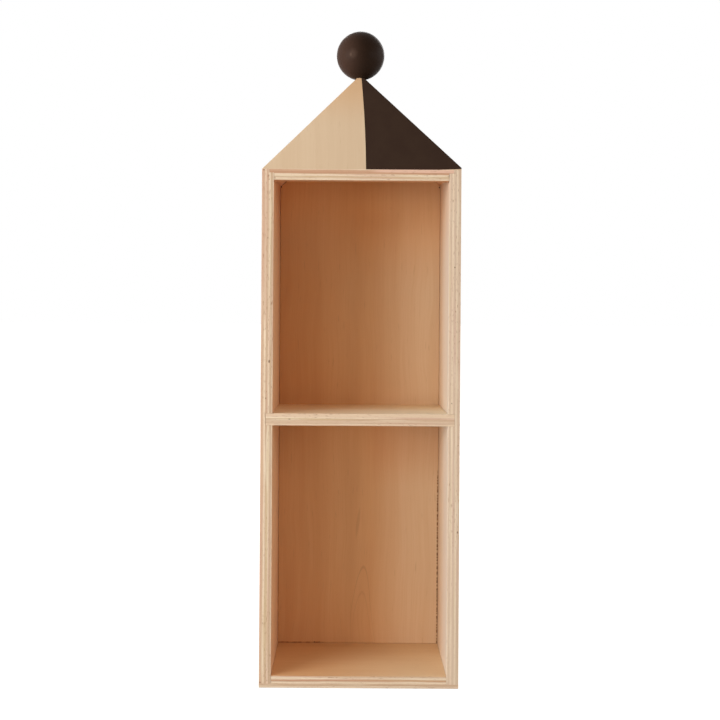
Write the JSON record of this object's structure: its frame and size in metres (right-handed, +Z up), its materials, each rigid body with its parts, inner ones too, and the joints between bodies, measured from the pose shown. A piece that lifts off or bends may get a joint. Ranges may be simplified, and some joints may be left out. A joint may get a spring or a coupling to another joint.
{
  "type": "circus-shaped wall shelf",
  "caption": "Narrow open wall shelf of birch plywood with a middle shelf, a pointed roof with a half-painted gable, and a dark wooden ball on the tip.",
  "frame": {"origin": "centre of the underside of the bottom board", "axes": "+X to the right seen from the front, +Y back to the wall, +Z up towards the ball"},
  "size_m": [0.2, 0.128, 0.6589],
  "materials": {
    "birch_plywood": "clear matte lacquer on birch veneer, seven plies showing at the cut edges",
    "back_veneer": "clear matte lacquer on a thin birch sheet with upright grain",
    "dark_paint": "matte dark brown paint over plywood",
    "dark_stain": "dark brown satin paint on a turned ball",
    "steel": "zinc-plated steel"
  },
  "bodies": {
    "root": {"bottom_board": "birch_plywood", "middle_shelf": "birch_plywood", "front_rail": "birch_plywood", "back_panel": "back_veneer", "gable_board": "birch_plywood", "finial_stud": "steel", "finial_ball": "dark_stain", "side_left": "birch_plywood", "side_right": "birch_plywood", "roof_board_left": "birch_plywood", "roof_board_right": "birch_plywood", "hanger_left": "steel", "hanger_right": "steel", "hanger_screw_left_lower": "steel", "hanger_screw_left_upper": "steel", "hanger_screw_right_lower": "steel", "hanger_screw_right_upper": "steel"}
  },
  "joints": []
}
